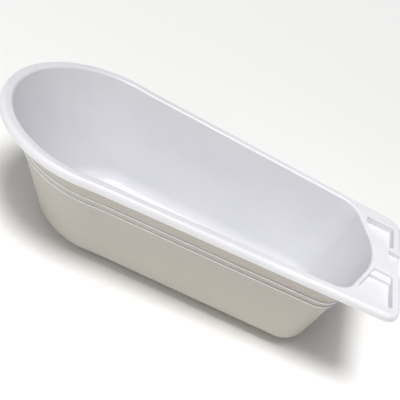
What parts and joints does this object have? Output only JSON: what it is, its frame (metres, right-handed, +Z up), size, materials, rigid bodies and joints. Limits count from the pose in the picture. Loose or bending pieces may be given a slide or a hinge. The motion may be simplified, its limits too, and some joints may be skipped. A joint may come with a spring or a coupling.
{
  "type": "baby bath tub",
  "caption": "Moulded plastic baby bath with a round sloping head end, rolled rim, soap deck with two trays, and a floor waste with a pull-out plug.",
  "frame": {"origin": "under the middle of the length and width, on the surface the bath stands on", "axes": "+Z up, +X along the length from the round head end to the soap deck, +Y towards the side with the shorter tray"},
  "size_m": [1, 0.4798, 0.265],
  "materials": {
    "tub_plastic": "gloss",
    "outlet_plastic": "gloss",
    "seal_rubber": "matte",
    "plug_rubber": "satin",
    "ring_steel": "polished"
  },
  "bodies": {
    "tub": {"tub_shell": "tub_plastic", "drain_outlet": "outlet_plastic", "flange_seal": "seal_rubber", "nut_seal": "seal_rubber", "drain_nut": "outlet_plastic"},
    "plug": {"drain_plug": "plug_rubber"},
    "ring": {"pull_ring": "ring_steel"}
  },
  "joints": [
    {"name": "plug_pull", "type": "slide", "parent": "tub", "child": "plug", "axis": [0, 0, 1], "range_m": [0, 0.06]},
    {"name": "ring_flip", "type": "hinge", "parent": "plug", "child": "ring", "pos_m": [0.27, 0, 0.0202], "axis": [0, -1, 0], "range_deg": [0, 180]}
  ]
}
